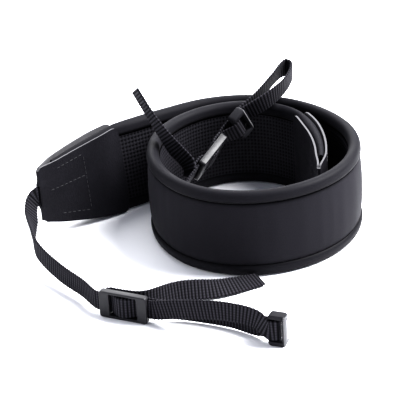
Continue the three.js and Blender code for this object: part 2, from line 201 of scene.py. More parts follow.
def skin(name, rows, along, across, closed):
    """A mesh through rows of points, with a UV map in metres: along its length, across its width."""
    count = len(rows[0])
    spans = count if closed else count - 1
    faces, corners = [], []
    for r in range(len(rows) - 1):
        for c in range(spans):
            n = (c + 1) % count
            faces.append((r * count + c, r * count + n, (r + 1) * count + n, (r + 1) * count + c))
            low, high = along[r] * MM, along[r + 1] * MM
            left, right = across[c] * MM, across[c + 1] * MM
            corners += [(low, left), (low, right), (high, right), (high, left)]
    if closed:
        last = (len(rows) - 1) * count
        faces += [tuple(range(count)), tuple(range(last, last + count))]
        corners += [(along[0] * MM, v * MM) for v in across[:count]]
        corners += [(along[-1] * MM, v * MM) for v in across[:count]]
    mesh = bpy.data.meshes.new(name)
    mesh.from_pydata([tuple(p) for row in rows for p in row], [], faces)
    mesh.uv_layers.new(name="length_width").data.foreach_set("uv", np.ravel(corners))
    piece = bpy.data.objects.new(name, mesh)
    bpy.context.collection.objects.link(piece)
    return piece


def take_up(piece):
    """Makes a piece the only one selected, and the active one."""
    bpy.ops.object.select_all(action="DESELECT")
    piece.select_set(True)
    bpy.context.view_layer.objects.active = piece


def smooth_outwards(piece, angle):
    """Turns the faces outwards and smooths every edge that bends by less than the angle."""
    take_up(piece)
    bpy.ops.object.mode_set(mode="EDIT")
    bpy.ops.mesh.select_all(action="SELECT")
    bpy.ops.mesh.normals_make_consistent(inside=False)
    bpy.ops.object.mode_set(mode="OBJECT")
    bpy.ops.object.shade_smooth_by_angle(angle=math.radians(angle))


def girth(section):
    """Running distance round a closed section, back to its first point."""
    steps = [math.dist(a, b) for a, b in zip(section, section[1:] + section[:1])]
    return [0.0, *np.cumsum(steps)]


def settle(piece, node):
    """Hides the solid a finished piece stands for, and hangs the piece under the root body."""
    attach(piece, "root")
    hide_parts(node)


def steps_between(start, end, step):
    """Even steps from start to end, none longer than the one asked for."""
    count = math.ceil((end - start) / step)
    return [start + (end - start) * i / count for i in range(count + 1)]


pad_rows, pad_groove_shade = [], []
pad_along = steps_between(TIP_SEAM, PAD_LENGTH - TIP_SEAM, PAD_STEP)
for distance in pad_along:
    tall, thin = half_height(distance), squeeze(distance)
    wander = BAND_WANDER * math.sin(2 * math.pi * distance / WANDER_PITCH)
    band = BAND * math.sin(2 * math.pi * distance / BAND_PITCH + wander)
    section = [(PANEL_GROOVE * thin, PAD_HALF - tall)]
    for i in range(PANEL_COLUMNS + 1):
        t = 0.5 - 0.5 * math.cos(math.pi * i / PANEL_COLUMNS)
        rise = math.sin(math.pi * t) ** CROWN_POWER
        pull = PUCKER * math.sin(2 * math.pi * distance / PUCKER_PITCH) * (1 - rise)
        out = PANEL_GROOVE + (PANEL_CROWN - PANEL_GROOVE) * rise + pull + band * rise
        section.append((out * thin, (2 * t - 1) * (tall - PANEL_START)))
    section.append((PANEL_GROOVE * thin, tall - PAD_HALF))
    section += [(-PANEL_GROOVE * thin, tall - PAD_HALF), (-PANEL_GROOVE * thin, PAD_HALF - tall)]
    # How much painted shade each point gets: full at the seam groove, fading over the shade width
    for out, up in section:
        to_seam = max(tall - PANEL_START - abs(up), 0)
        painted_shade = TOP_GROOVE_PAINTED_SHADE if up > 0 else FOOT_GROOVE_PAINTED_SHADE
        pad_groove_shade.append(painted_shade * math.exp(-((to_seam / GROOVE_SHADE_WIDTH) ** 2)))
    section = [(out, PAD_HEIGHT / 2 + up) for out, up in section]
    pad_rows.append(pad_row(distance, section))
pad_panel = skin("pad_panel", pad_rows, pad_along, girth(section), closed=True)
smooth_outwards(pad_panel, angle=50)
settle(pad_panel, "neck_pad")


def new_material(name, colour, roughness):
    """A material with its nodes, its shader, and the two plain values set on the shader."""
    material = bpy.data.materials.new(name)
    material.use_nodes = True
    shader = material.node_tree.nodes["Principled BSDF"]
    shader.inputs["Base Color"].default_value = colour
    shader.inputs["Roughness"].default_value = roughness
    return material, shader


def add_node(tree, kind, **values):
    """A node with its properties and input values set by name."""
    node = tree.nodes.new(kind)
    for key, value in values.items():
        socket = key.replace("_", " ")
        if hasattr(node, key):
            setattr(node, key, value)
        else:
            node.inputs[socket].default_value = value
    return node


def new_group(name, inputs, outputs):
    """A shader node group with named inputs and outputs."""
    group = bpy.data.node_groups.new(name, "ShaderNodeTree")
    for socket, kind, value in inputs:
        made = group.interface.new_socket(socket, in_out="INPUT", socket_type=kind)
        if value is not None:
            made.default_value = value
    for socket, kind in outputs:
        group.interface.new_socket(socket, in_out="OUTPUT", socket_type=kind)
    return group, group.nodes.new("NodeGroupInput"), group.nodes.new("NodeGroupOutput")


# Cloth tone: soft cloudy patches and single-yarn flecks that lighten and darken a dyed fabric, with
# painted shade mixed in along seam grooves
cloth_tone, tone_in, tone_out = new_group(
    "cloth_tone",
    [
        ("Vector", "NodeSocketVector", None),
        ("Dark", "NodeSocketColor", (0.02, 0.02, 0.024, 1)),
        ("Light", "NodeSocketColor", (0.04, 0.04, 0.048, 1)),
        ("Patch Scale", "NodeSocketFloat", 40.0),
        ("Fleck Scale", "NodeSocketFloat", 2600.0),
        ("Seam", "NodeSocketFloat", 0.0),
        ("Smooth", "NodeSocketFloat", 0.5),
        ("Rough", "NodeSocketFloat", 0.7),
    ],
    [("Color", "NodeSocketColor"), ("Fleck", "NodeSocketFloat"), ("Roughness", "NodeSocketFloat")],
)
patch = add_node(cloth_tone, "ShaderNodeTexNoise", Detail=3.0, Roughness=0.55)
fleck = add_node(cloth_tone, "ShaderNodeTexNoise", Detail=1.0, Roughness=0.5)
blend_tones = add_node(cloth_tone, "ShaderNodeMath", operation="MULTIPLY_ADD")
blend_tones.inputs[1].default_value = FLECK_SHARE
mix_tones = add_node(cloth_tone, "ShaderNodeMix", data_type="RGBA")
patch_part = add_node(cloth_tone, "ShaderNodeMath", operation="MULTIPLY")
patch_part.inputs[1].default_value = PATCH_SHARE
# Painted shade: the tone is mixed toward a near-black colour along seam grooves, where shadow falls
groove_shade_mix = add_node(cloth_tone, "ShaderNodeMix", data_type="RGBA")
groove_shade_mix.inputs["B"].default_value = GROOVE_SHADE_COLOUR
for texture, scale in ((patch, "Patch Scale"), (fleck, "Fleck Scale")):
    cloth_tone.links.new(tone_in.outputs["Vector"], texture.inputs["Vector"])
    cloth_tone.links.new(tone_in.outputs[scale], texture.inputs["Scale"])
cloth_tone.links.new(patch.outputs["Fac"], patch_part.inputs[0])
cloth_tone.links.new(fleck.outputs["Fac"], blend_tones.inputs[0])
cloth_tone.links.new(patch_part.outputs[0], blend_tones.inputs[2])
cloth_tone.links.new(blend_tones.outputs[0], mix_tones.inputs["Factor"])
cloth_tone.links.new(tone_in.outputs["Dark"], mix_tones.inputs["A"])
cloth_tone.links.new(tone_in.outputs["Light"], mix_tones.inputs["B"])
cloth_tone.links.new(mix_tones.outputs["Result"], groove_shade_mix.inputs["A"])
cloth_tone.links.new(tone_in.outputs["Seam"], groove_shade_mix.inputs["Factor"])
cloth_tone.links.new(groove_shade_mix.outputs["Result"], tone_out.inputs["Color"])
cloth_tone.links.new(fleck.outputs["Fac"], tone_out.inputs["Fleck"])
tone_rough = add_node(cloth_tone, "ShaderNodeMapRange", From_Min=0.3, From_Max=0.7)
cloth_tone.links.new(patch.outputs["Fac"], tone_rough.inputs["Value"])
cloth_tone.links.new(tone_in.outputs["Smooth"], tone_rough.inputs["To Min"])
cloth_tone.links.new(tone_in.outputs["Rough"], tone_rough.inputs["To Max"])
cloth_tone.links.new(tone_rough.outputs["Result"], tone_out.inputs["Roughness"])


def place_tone(material, shader, source, dark, light, patch_scale, fleck_scale):
    """Puts the cloth tone into a material, read from an output of its coordinates node."""
    tree = material.node_tree
    coordinates = tree.nodes.new("ShaderNodeTexCoord")
    tone = add_node(tree, "ShaderNodeGroup", node_tree=cloth_tone)
    tone.inputs["Dark"].default_value = dark
    tone.inputs["Light"].default_value = light
    tone.inputs["Patch Scale"].default_value = patch_scale
    tone.inputs["Fleck Scale"].default_value = fleck_scale
    roughness = shader.inputs["Roughness"].default_value
    tone.inputs["Smooth"].default_value = roughness - ROUGHNESS_SPREAD
    tone.inputs["Rough"].default_value = roughness + ROUGHNESS_SPREAD
    tree.links.new(coordinates.outputs[source], tone.inputs["Vector"])
    tree.links.new(tone.outputs["Color"], shader.inputs["Base Color"])
    tree.links.new(tone.outputs["Roughness"], shader.inputs["Roughness"])
    return tree, tone


def mark(piece, name, values):
    """Keeps one value for each point of a piece, for its material to read."""
    piece.data.attributes.new(name, "FLOAT", "POINT").data.foreach_set("value", np.ravel(values))


def paint_groove_shade(tree, tone):
    """Paints shade into a cloth's colour along its seam grooves, where shadow falls."""
    seam = add_node(tree, "ShaderNodeAttribute", attribute_name="seam")
    tree.links.new(seam.outputs["Fac"], tone.inputs["Seam"])


def bump_from(tree, shader, height, strength, depth):
    """Bumps a surface from a varying height, with its full depth in millimetres."""
    bump = add_node(tree, "ShaderNodeBump", Strength=strength, Distance=depth * MM)
    tree.links.new(height, bump.inputs["Height"])
    tree.links.new(bump.outputs["Normal"], shader.inputs["Normal"])


neoprene, neoprene_shader = new_material("neoprene_knit", NEOPRENE_LIGHT, roughness=0.62)
neoprene_tree, neoprene_tone = place_tone(
    neoprene, neoprene_shader, "UV", NEOPRENE_DARK, NEOPRENE_LIGHT, patch_scale=30.0, fleck_scale=1900.0
)
# Painted shade along the panel's seam grooves
paint_groove_shade(neoprene_tree, neoprene_tone)
mark(pad_panel, "seam", pad_groove_shade)
neoprene_shader.inputs["Sheen Weight"].default_value = 0.02
neoprene_shader.inputs["Sheen Roughness"].default_value = 0.45
neoprene_shader.inputs["Specular IOR Level"].default_value = 0.03
bump_from(neoprene_tree, neoprene_shader, neoprene_tone.outputs["Fleck"], strength=0.35, depth=0.12)
pad_panel.data.materials.append(neoprene)

# Grip lining: a thin rubberised mesh glued to the face that lies on the neck. It is moulded in
# square cells, each a small pit between raised ribs, and its ends go under the leather tips.
LINING_FROM = 26.0
LINING_FACE = 3.15
CELL = 1.9
CELL_STEPS = 4
PIT_DEPTH = 0.62
# Painted shade colour for the pit floors
LINING_PIT_SHADE = (0.0015, 0.0014, 0.0018, 1)
LINING_LIGHT = (0.026, 0.0251, 0.0296, 1)

cell_rows = round((PAD_HEIGHT - 2 * PANEL_START) / CELL)
lining_along = steps_between(LINING_FROM, PAD_LENGTH - LINING_FROM, CELL / CELL_STEPS)
lining_across = [i / CELL_STEPS for i in range(cell_rows * CELL_STEPS + 1)]
lining_rows, pits = [], []
for i, distance in enumerate(lining_along):
    tall = half_height(distance) - PANEL_START
    section = []
    for cell in lining_across:
        pit = (math.sin(math.pi * i / CELL_STEPS) * math.sin(math.pi * cell)) ** 2
        pits.append(pit)
        out = -(LINING_FACE - PIT_DEPTH * pit) * squeeze(distance)
        section.append((out, PAD_HEIGHT / 2 + tall * (2 * cell / cell_rows - 1)))
    lining_rows.append(pad_row(distance, section))
cell_widths = [cell * CELL for cell in lining_across]
grip_lining = skin("grip_mesh", lining_rows, lining_along, cell_widths, closed=False)
mark(grip_lining, "pit", pits)
grip_lining.data.flip_normals()
grip_lining.data.shade_smooth()
settle(grip_lining, "grip_lining")

grip, grip_shader = new_material("grip_rubber", LINING_LIGHT, roughness=0.6)
grip_tree = grip.node_tree
# Painted shade: the colour goes toward near black in each pit; the pits are also rougher
pit_depth = add_node(grip_tree, "ShaderNodeAttribute", attribute_name="pit")
pit_shade_mix = add_node(grip_tree, "ShaderNodeMix", data_type="RGBA")
pit_shade_mix.inputs["A"].default_value = LINING_LIGHT
pit_shade_mix.inputs["B"].default_value = LINING_PIT_SHADE
grip_tree.links.new(pit_depth.outputs["Fac"], pit_shade_mix.inputs["Factor"])
grip_tree.links.new(pit_shade_mix.outputs["Result"], grip_shader.inputs["Base Color"])
grip_rough = add_node(grip_tree, "ShaderNodeMapRange", To_Min=0.5, To_Max=0.8)
grip_tree.links.new(pit_depth.outputs["Fac"], grip_rough.inputs["Value"])
grip_tree.links.new(grip_rough.outputs["Result"], grip_shader.inputs["Roughness"])
grip_shader.inputs["Specular IOR Level"].default_value = 0.05
grip_lining.data.materials.append(grip)

# Edge bindings: a stretch tape folded over each long edge of the pad and sewn through beside it.
# Each has a full round bead on the edge, and sides that swell a little and turn in to the seam.
BINDING_BEAD = 3.0
BINDING_SIDES = [
    # out, depth below the edge
    (3.08, 3.4), (3.16, 3.9), (3.16, 4.4), (3.0, 5.0), (2.6, 5.5), (2.15, 5.8), (1.85, 5.5),
]
SEAM_FROM, SEAM_TO = 4.6, 5.5
BINDING_INSIDE = [(1.9, 3.0), (1.34, 1.66), (0.0, 1.1)]
BEAD_STEPS = 12
TAPE_DARK = (0.0092, 0.0089, 0.0108, 1)
TAPE_LIGHT = (0.018, 0.0175, 0.0211, 1)

bead = []
for i in range(BEAD_STEPS + 1):
    angle = math.pi * i / BEAD_STEPS
    bead.append((BINDING_BEAD * math.cos(angle), BINDING_BEAD * (1 - math.sin(angle))))
right_side = list(reversed(BINDING_SIDES))
left_side = [(-out, depth) for out, depth in BINDING_SIDES]
inside = [(-out, depth) for out, depth in BINDING_INSIDE] + list(reversed(BINDING_INSIDE[:-1]))
tape_section = right_side + bead + left_side + inside

tape, tape_shader = new_material("stretch_tape", TAPE_LIGHT, roughness=0.55)
tape_tree, tape_tone = place_tone(
    tape, tape_shader, "UV", TAPE_DARK, TAPE_LIGHT, patch_scale=60.0, fleck_scale=1500.0
)
tape_shader.inputs["Sheen Weight"].default_value = 0.03
tape_shader.inputs["Sheen Roughness"].default_value = 0.4
tape_shader.inputs["Specular IOR Level"].default_value = 0.06
paint_groove_shade(tape_tree, tape_tone)
bump_from(tape_tree, tape_shader, tape_tone.outputs["Fleck"], strength=0.3, depth=0.12)

# Painted shade on the tape: none above the seam, full at the seam groove
tape_groove_shade = [
    min(max((depth - SEAM_FROM) / (SEAM_TO - SEAM_FROM), 0), 1) for out, depth in tape_section
]
for name, node, edge in (("upper_tape", "top_binding", 1), ("lower_tape", "bottom_binding", -1)):
    rows = []
    for distance in pad_along:
        tall, thin = half_height(distance), squeeze(distance)
        rows.append(pad_row(distance, [
            (out * thin, PAD_HEIGHT / 2 + edge * (tall - depth)) for out, depth in tape_section
        ]))
    binding = skin(name, rows, pad_along, girth(tape_section), closed=True)
    smooth_outwards(binding, angle=60)
    settle(binding, node)
    binding.data.materials.append(tape)
    # Strength of the painted groove shade on this binding
    painted_shade = TOP_GROOVE_PAINTED_SHADE if edge > 0 else FOOT_GROOVE_PAINTED_SHADE
    mark(binding, "seam", [painted_shade * fold for fold in tape_groove_shade] * len(pad_along))

# Leather tips: one piece of leather folded round each end of the pad and sewn through it, narrowing
# to the webbing's slot at the fold. Its edges are cut raw and show the paler inside of the hide.
LEATHER = 0.95
TIP_CORNER, FOLD_CORNER = 4.0, 1.4
TIP_BELLY, FRONT_SWELL = 1.2, 0.9
WEB_ROOM, EDGE_ROOM, SLOT_HALF, SLOT_FADE = 0.85, 0.12, 5.5, 2.5
PAD_FROM, PAD_EASE = 11.0, 0.3
FOLD_STEPS, CORNER_STEPS, TIP_COLUMNS, TIP_STEP = 8, 6, 24, 2.0
FOLD_ROWS, FOLD_CORNER_USED, SLOT_TURN = [0.0, 0.2, 0.6, 1.1], 0.97, 0.25
SEWN_FROM, SEWN_TO, SEWN_IN = 9.0, 25.0, 4.0
CROSS_SEAM, CROSS_IN = 25.6, 1.0
SLANT_SEAM = [
    # along from the tip's end, below the upper edge
    (4.5, 13.6), (25.0, 15.0),
]
STITCH_PITCH, STITCH_LENGTH, STITCH_HALF, THREAD_SIDES = 2.5, 1.8, 0.2, 6
STITCH_RINGS = [
    # along in stitch lengths, thickness in half thicknesses
    (-0.5, 0.3), (-0.3, 1.0), (0.3, 1.0), (0.5, 0.3),
]
HIDE_DARK = (0.011, 0.0106, 0.013, 1)
HIDE_LIGHT = (0.023, 0.0222, 0.0268, 1)
RAW_DARK = (0.060, 0.0588, 0.063, 1)
RAW_LIGHT = (0.125, 0.1225, 0.131, 1)
THREAD_DARK = (0.018, 0.0176, 0.0199, 1)
THREAD_LIGHT = (0.038, 0.0372, 0.0418, 1)


def leather_point(e, up, turned, at_rear, lift=0.0):
    """A point on the leather: e from the pad's end, up from its middle, turned round the fold."""
    slot = min(max((SLOT_HALF + SLOT_FADE - abs(up)) / SLOT_FADE, 0), 1)
    end_room = EDGE_ROOM + (WEB_ROOM - EDGE_ROOM) * slot
    pad_room = PAD_HALF * squeeze(max(e, TIP_SEAM)) + PAD_EASE
    share = min(max(e / PAD_FROM, 0), 1)
    room = end_room + (pad_room - end_room) * share ** 2 * (3 - 2 * share)
    if turned == 0 and not at_rear:
        room += FRONT_SWELL * math.sin(math.pi * e / TIP_LENGTH)
    reach = room + LEATHER / 2 + lift
    past = e - reach * math.sin(turned)
    distance = PAD_LENGTH - past if at_rear else past
    return pad_row(distance, [(reach * math.cos(turned), PAD_HEIGHT / 2 + up)])[0]


def tip_rows(at_rear):
    """Rows over the folded leather: down one layer, round the fold, and up the other layer."""
    turns = [math.pi / 2 * (a + 1) / CORNER_STEPS for a in range(CORNER_STEPS)]
    corner_rows = [TIP_LENGTH - TIP_CORNER * (1 - math.sin(turn)) for turn in turns]
    layer = FOLD_ROWS + steps_between(FOLD_CORNER, TIP_LENGTH - TIP_CORNER, TIP_STEP) + corner_rows
    stations = [(e, 0.0) for e in reversed(layer)]
    stations += [(0.0, math.pi * i / FOLD_STEPS) for i in range(1, FOLD_STEPS)]
    stations += [(e, math.pi) for e in layer]
    rows, along = [], [0.0]
    for e, turned in stations:
        into = max(0, e - (TIP_LENGTH - TIP_CORNER))
        corner = TIP_CORNER - math.sqrt(max(TIP_CORNER ** 2 - into ** 2, 0))
        into = min(max(FOLD_CORNER - e, 0), FOLD_CORNER_USED * FOLD_CORNER)
        corner += FOLD_CORNER - math.sqrt(FOLD_CORNER ** 2 - into ** 2)
        tall = half_height(e) - corner
        belly = TIP_BELLY * math.sin(math.pi * e / TIP_LENGTH)
        row = []
        for i in range(TIP_COLUMNS + 1):
            share = 2 * i / TIP_COLUMNS - 1
            up = share * (tall + (belly if share < 0 else 0))
            row.append(leather_point(e, up, turned, at_rear))
        rows.append(row[::-1] if at_rear else row)
    for a, b in zip(rows, rows[1:]):
        along.append(along[-1] + (b[TIP_COLUMNS // 2] - a[TIP_COLUMNS // 2]).length / MM)
    return rows, along, stations


def sewn_line(start, end, turned, at_rear):
    """Stitches between two (e, up) points on one layer, each as its rings of points."""
    count = round(math.dist(start, end) / STITCH_PITCH)
    stitches = []
    for i in range(count):
        middle = (i + 0.5) / count
        reach = STITCH_LENGTH / math.dist(start, end)
        rings = []
        for t, thick in STITCH_RINGS:
            share = middle + reach * t
            e, up = (a + (b - a) * share for a, b in zip(start, end))
            at = leather_point(e, up, turned, at_rear, LEATHER / 2)
            out = (leather_point(e, up, turned, at_rear, LEATHER) - at).normalized()
            ahead = leather_point(*end, turned, at_rear, LEATHER / 2)
            side = (ahead - leather_point(*start, turned, at_rear, LEATHER / 2)).cross(out).normalized()
            for k in range(THREAD_SIDES):
                angle = 2 * math.pi * k / THREAD_SIDES
                ring = side * math.cos(angle) + out * math.sin(angle)
                rings.append(at + ring * STITCH_HALF * thick * MM)
        stitches.append(rings)
    return stitches


def thread_mesh(name, stitches):
    """All the stitches of one tip as one mesh."""
    points, faces = [], []
    for rings in stitches:
        base = len(points)
        points += [tuple(p) for p in rings]
        for r in range(len(STITCH_RINGS) - 1):
            for k in range(THREAD_SIDES):
                n = (k + 1) % THREAD_SIDES
                low, high = base + THREAD_SIDES * r, base + THREAD_SIDES * (r + 1)
                faces.append((low + k, low + n, high + n, high + k))
        last = base + THREAD_SIDES * (len(STITCH_RINGS) - 1)
        faces += [tuple(range(at, at + THREAD_SIDES)) for at in (base, last)]
    mesh = bpy.data.meshes.new(name)
    mesh.from_pydata(points, [], faces)
    thread = bpy.data.objects.new(name, mesh)
    bpy.context.collection.objects.link(thread)
    return thread


hide, hide_shader = new_material("black_leather", HIDE_LIGHT, roughness=0.5)
hide_tree = hide.node_tree
place_tone(hide, hide_shader, "Object", HIDE_DARK, HIDE_LIGHT, patch_scale=55.0, fleck_scale=900.0)
hide_shader.inputs["Specular IOR Level"].default_value = 0.1
hide_pores = add_node(hide_tree, "ShaderNodeTexVoronoi", feature="F1", Scale=1300.0)
hide_place = hide_tree.nodes.new("ShaderNodeTexCoord")
hide_tree.links.new(hide_place.outputs["Object"], hide_pores.inputs["Vector"])
bump_from(hide_tree, hide_shader, hide_pores.outputs["Distance"], strength=0.4, depth=0.2)

raw, raw_shader = new_material("raw_leather_edge", RAW_LIGHT, roughness=0.8)
place_tone(raw, raw_shader, "Object", RAW_DARK, RAW_LIGHT, patch_scale=400.0, fleck_scale=2500.0)
sewing, sewing_shader = new_material("sewing_thread", THREAD_LIGHT, roughness=0.6)
place_tone(
    sewing, sewing_shader, "Object", THREAD_DARK, THREAD_LIGHT, patch_scale=300.0, fleck_scale=4000.0
)

for name, node, at_rear in (("front_leather", "front_tip", False), ("rear_leather", "rear_tip", True)):
    rows, along, stations = tip_rows(at_rear)
    heights = [2 * half_height(TIP_LENGTH) * i / TIP_COLUMNS for i in range(TIP_COLUMNS + 1)]
    tip = skin(name, rows, along, heights, closed=False)
    tip.data.materials.append(raw)
    tip.data.materials.append(hide)
    take_up(tip)
    bpy.context.tool_settings.mesh_select_mode = (False, False, True)
    for face in tip.data.polygons:
        row = face.index // TIP_COLUMNS
        turned = (stations[row][1] + stations[row + 1][1]) / 2
        height = face.center.z / MM - PAD_HEIGHT / 2
        in_fold = SLOT_TURN < turned / math.pi < 1 - SLOT_TURN
        face.select = in_fold and abs(height) < SLOT_HALF
    bpy.ops.object.mode_set(mode="EDIT")
    bpy.ops.mesh.delete(type="FACE")
    bpy.ops.object.mode_set(mode="OBJECT")
    thick = tip.modifiers.new("hide_thickness", "SOLIDIFY")
    thick.thickness = LEATHER * MM
    thick.offset = 0
    thick.material_offset = 1
    bpy.ops.object.modifier_apply(modifier=thick.name)
    bpy.ops.object.shade_smooth_by_angle(angle=math.radians(50))

    # Each layer is sewn along both edges, up and down across the pad, and on a slant in the middle
    stitches = []
    for turned in (0.0, math.pi):
        near, far = half_height(SEWN_FROM) - SEWN_IN, half_height(SEWN_TO) - SEWN_IN
        stitches += sewn_line((SEWN_FROM, near), (SEWN_TO, far), turned, at_rear)
        stitches += sewn_line((SEWN_FROM, -near), (SEWN_TO, -far), turned, at_rear)
        stitches += sewn_line((CROSS_SEAM, far - CROSS_IN), (CROSS_SEAM, CROSS_IN - far), turned, at_rear)
        slant_start, slant_end = ((e, half_height(e) - below) for e, below in SLANT_SEAM)
        stitches += sewn_line(slant_start, slant_end, turned, at_rear)
    thread = thread_mesh(name + "_thread", stitches)
    thread.data.materials.append(sewing)
    smooth_outwards(thread, angle=60)
    take_up(tip)
    thread.select_set(True)
    bpy.ops.object.join()
    settle(tip, node)

# Webbing: a narrow woven tape with a rib across it at every weft, so its edges are finely toothed.
# One length comes out of each tip, is threaded through its buckle and keeper, and doubles back.
WEB_WIDTH, WEB_THICKNESS = 10.0, 1.15
RIB_PITCH, RIB_STEPS = 1.68, 5
RIB_HEIGHT, RIB_TOOTH = 0.5, 0.3
RIB_MIDDLE, TOOTH_MIDDLE = 0.5, 0.6
WARP_ENDS, WARP_STEPS, WARP_SHARE = 7, 4, 0.4
FLAT_SHARE = 0.93
EDGE_REACH, EDGE_ROUND = 0.98, 0.62
CLEARANCE = 0.3
LAYER_PITCH = 1.85
WEB_IN_TIP, WEB_OUT_OF_TIP = 8.0, 3.0
BUCKLE_LENGTH, BUCKLE_HEIGHT, BUCKLE_DEPTH = 24.5, 13.8, 3.6
SIDE_BAR, SIDE_BAR_DEPTH = 5.2, 2.1
CENTRE_BAR, CENTRE_BAR_DEPTH = 2.4, 1.2
KEEPER_LENGTH, KEEPER_HEIGHT, KEEPER_DEPTH = 8.6, 16.0, 5.0
KEEPER_WALL, KEEPER_BAR, FOLDED_BAR_DEPTH, FREE_BAR_DEPTH = 2.2, 1.8, 2.0, 3.2
KEEPER_LEAD, KEEPER_EASE, FOLD_TO_BAR = 1.5, 0.2, 1.0
TAIL_FOLD, TAIL_FOLD_IN = 1.6, 1.0
HALF_WEB = 0.55
UNDER_BAR = BUCKLE_DEPTH / 2 - SIDE_BAR_DEPTH - CLEARANCE - HALF_WEB
OVER_CENTRE = -BUCKLE_DEPTH / 2 + CENTRE_BAR_DEPTH + CLEARANCE + HALF_WEB
YARN_TROUGH_SHADE = (0.0022, 0.0021, 0.0026, 1)
YARN_LIGHT = (0.047, 0.0451, 0.0545, 1)


def width_direction(along, lean):
    """The webbing's width: upright, then leaning by an angle to the right of its run."""
    right = along.cross(Vector((0, 0, 1))).normalized()
    upright = right.cross(along)
    return upright * math.cos(math.radians(lean)) + right * math.sin(math.radians(lean))


def hardware_frame(node, heading, climb, lean):
    """Where a buckle or keeper lies: its middle, and its along, front and across directions."""
    turn, rise = math.radians(heading), math.radians(climb)
    along = Vector((math.cos(turn) * math.cos(rise), math.sin(turn) * math.cos(rise), math.sin(rise)))
    across = width_direction(along, lean)
    return (middle_of(node) - zero) / MM, along, along.cross(across), across


front_buckle = hardware_frame("front_buckle", heading=-26, climb=0, lean=0)
front_keeper = hardware_frame("front_keeper", heading=-22.4, climb=0, lean=0)
rear_buckle = hardware_frame("rear_buckle", heading=58.8, climb=12.4, lean=30)
rear_keeper = hardware_frame("rear_keeper", heading=38, climb=32, lean=8)


def on_hardware(hardware, rows):
    """Route rows on a buckle or keeper, from (along, out of its front face) pairs."""
    middle, along, front, across = hardware
    return [(middle + along * u + front * v, across) for u, v in rows]


def on_table(rows):
    """Route rows on the coil's drawing, from places and how far the width leans."""
    return [(Vector(row[:3]), row[3] if len(row) > 3 else 0.0) for row in rows]


def out_of_pad(distances):
    """Route rows along the pad's own centre line, leaning with it."""
    rows = []
    for distance in distances:
        foot, top = (p - zero for p in pad_row(distance, [(0, 0), (0, PAD_HEIGHT)]))
        rows.append(((foot + top) / 2 / MM, (top - foot).normalized()))
    return rows


def through_buckle(inner, direction):
    """Behind one side bar, over the centre bar and behind the other side bar."""
    low = UNDER_BAR - (LAYER_PITCH if inner else 0)
    high = OVER_CENTRE + (0 if inner else LAYER_PITCH)
    arch = [
        # along from the buckle's middle, share of the climb
        (14.7, 0), (12.2, 0), (7.6, 0), (5.4, 0.26), (3.0, 0.74), (1.2, 1),
    ]
    rows = [(-direction * u, low + (high - low) * rise) for u, rise in arch]
    return rows + [(direction * u, low + (high - low) * rise) for u, rise in reversed(arch)]


bar_front = FOLDED_BAR_DEPTH / 2 + CLEARANCE + HALF_WEB
fold_at = KEEPER_LENGTH / 2 - KEEPER_BAR - FOLD_TO_BAR - HALF_WEB - bar_front
keeper_fold = [
    (fold_at + bar_front * math.cos(math.radians(a)), bar_front * math.sin(math.radians(a)))
    for a in (90, 45, 0, -45, -90)
]
turn_at = -BUCKLE_LENGTH / 2 + TAIL_FOLD + TAIL_FOLD_IN
inner_low = UNDER_BAR - LAYER_PITCH
tail_fold = [
    (turn_at - TAIL_FOLD * math.cos(math.radians(a)),
     inner_low - TAIL_FOLD + TAIL_FOLD * math.sin(math.radians(a)))
    for a in (45, 0, -45, -90)
]
front_return = [(u, v) for u, v in through_buckle(inner=True, direction=-1) if u > turn_at]
front_route = (
    out_of_pad([WEB_IN_TIP, TIP_SEAM / 2, 0, -WEB_OUT_OF_TIP])
    + on_table([
        (-83, -31.8, 20.4, 16), (-83.4, -39, 16.6, 34), (-82.6, -51.5, 13.4, 8),
        (-79.8, -63.6, 11), (-69, -80.8, 7.8, -2), (-58, -95.8, 7),
    ])
    + on_hardware(front_buckle, through_buckle(inner=False, direction=1))
    + on_table([(-12.3, -127.3, 10.2), (8, -136.4, 13.2), (22, -142, 11.4)])
    + on_hardware(front_keeper, [(-KEEPER_LENGTH / 2, bar_front)] + keeper_fold)
    + on_hardware(front_keeper, [(-KEEPER_LENGTH / 2, -bar_front)])
    + on_table([(22.4, -138.8, 5.5), (10.8, -130, 5.35), (-10, -121, 5.5)])
    + on_hardware(front_buckle, front_return)
    + on_hardware(front_buckle, tail_fold + [(-4, -6.2), (6, -8)])
    + on_table([(-12, -101.6, 5.2, -25), (6.9, -97.4, 3.3, -60), (26.4, -88.2, 1.4, -84)])
)
rear_bar = KEEPER_LENGTH / 2 - KEEPER_BAR / 2
rear_route = (
    out_of_pad([PAD_LENGTH - e for e in (WEB_IN_TIP, TIP_SEAM / 2, 0, -WEB_OUT_OF_TIP)])
    + on_table([
        (55, -56, 21.5), (46.5, -65, 20), (33, -70.5, 19), (18, -70.5, 19.5), (4, -65, 21, 4),
        (-6, -55, 23.5, 10), (-8.5, -45, 26.5, 18), (-5.5, -36.5, 29.3, 25),
    ])
    + on_hardware(rear_buckle, through_buckle(inner=False, direction=1))
    + on_hardware(rear_keeper, [
        (-rear_bar - KEEPER_LEAD, bar_front - KEEPER_EASE), (-rear_bar, bar_front),
        (-rear_bar + KEEPER_LEAD, bar_front - KEEPER_EASE), (0, 0),
        (rear_bar - KEEPER_LEAD, KEEPER_EASE - bar_front), (rear_bar, -bar_front),
        (rear_bar + KEEPER_LEAD, -bar_front),
    ])
    + on_table([
        (36.6, 5.6, 51, 9), (45.2, 14.4, 53.8, 10), (49.4, 23.6, 55.3, 6),
        (50.4, 30.2, 56), (48.2, 33, 56.2, -6), (45.2, 30.6, 55.9, -12),
        (40.6, 23.2, 54.6, -18), (32.4, 11.4, 50.4, -12),
    ])
    + on_hardware(rear_keeper, [(u, -bar_front - LAYER_PITCH) for u in (rear_bar, 0, -rear_bar)])
    + on_hardware(rear_buckle, through_buckle(inner=True, direction=-1))
    + on_table([
        (-5, -28.6, 36), (-10.4, -26.2, 42.2, -8), (-15.4, -23.6, 49, -18),
        (-19.8, -20.6, 55.4, -22), (-24.2, -16.8, 62.2, -22), (-28.6, -12.8, 69.6, -22),
    ])
)


